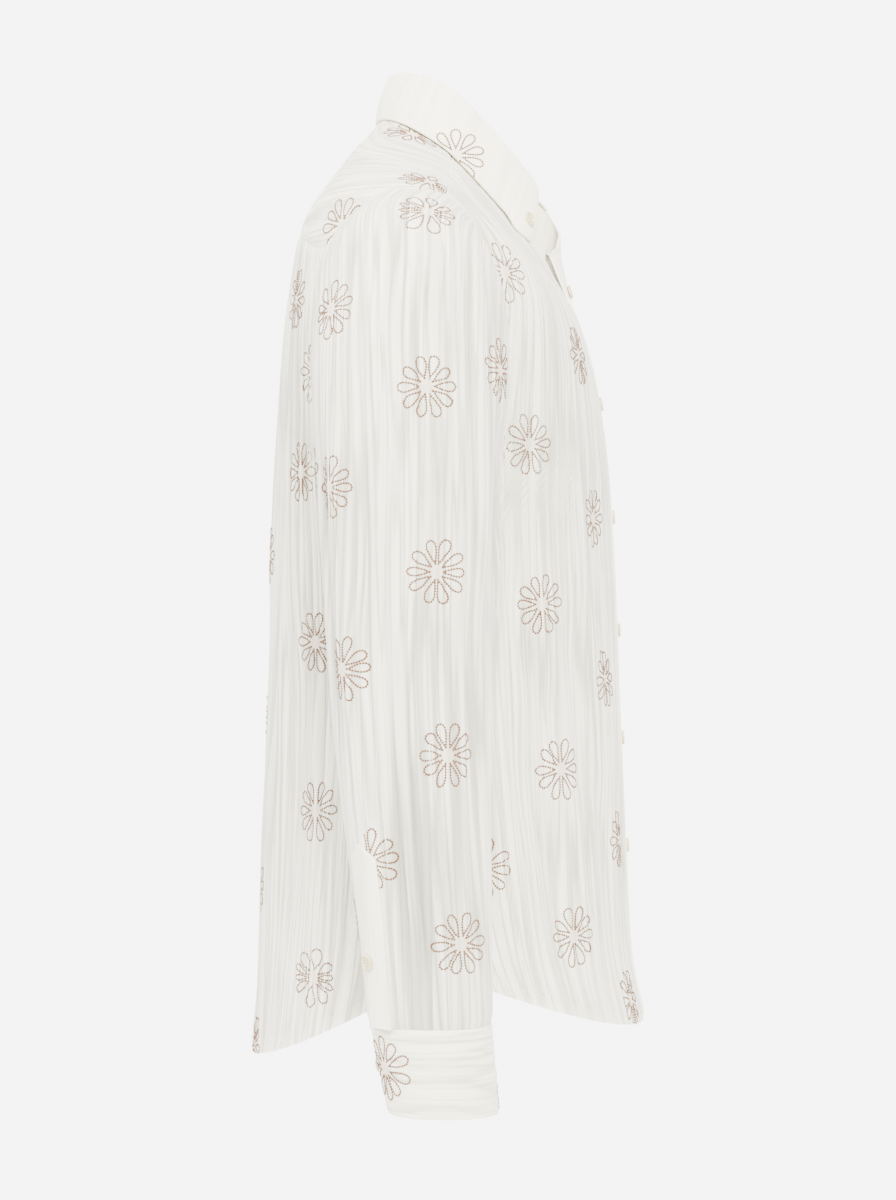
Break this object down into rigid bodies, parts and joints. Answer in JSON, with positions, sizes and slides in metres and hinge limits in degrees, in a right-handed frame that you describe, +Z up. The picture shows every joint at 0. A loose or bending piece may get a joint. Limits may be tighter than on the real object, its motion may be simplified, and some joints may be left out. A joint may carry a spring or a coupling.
{
  "type": "button-down shirt",
  "caption": "Long-sleeved button-down shirt of crinkled off-white cotton embroidered with outline daisies, filled out as worn, with a curved hem and barrel cuffs.",
  "frame": {"origin": "centre of the neck opening at the collar seam, where the wearer's neck and shoulders hold the shirt up", "axes": "+Z up towards the wearer's head, -Y towards the front of the shirt, -X towards the wearer's right sleeve"},
  "size_m": [0.6028, 0.3109, 0.7785],
  "materials": {
    "embroidery_thread": "tan embroidery thread, soft sheen",
    "crinkled_cotton": "crinkled off-white cotton gauze, matt, slightly see-through",
    "pearl_button": "pale cream pearl, polished"
  },
  "bodies": {
    "root": {"front_right": "crinkled_cotton", "front_left": "crinkled_cotton", "back": "crinkled_cotton", "yoke": "crinkled_cotton", "button_band": "crinkled_cotton", "front_placket": "crinkled_cotton", "collar_stand": "crinkled_cotton", "collar_leaf": "crinkled_cotton", "sleeve_right": "crinkled_cotton", "sleeve_left": "crinkled_cotton", "cuff_right": "crinkled_cotton", "cuff_left": "crinkled_cotton", "sleeve_placket_right": "crinkled_cotton", "sleeve_placket_left": "crinkled_cotton", "button_front_1": "pearl_button", "button_front_2": "pearl_button", "button_front_3": "pearl_button", "button_front_4": "pearl_button", "button_front_5": "pearl_button", "button_front_6": "pearl_button", "button_collar_left": "pearl_button", "button_collar_right": "pearl_button", "button_placket_right": "pearl_button", "button_placket_left": "pearl_button", "button_cuff_right": "pearl_button", "button_cuff_left": "pearl_button"}
  },
  "joints": []
}
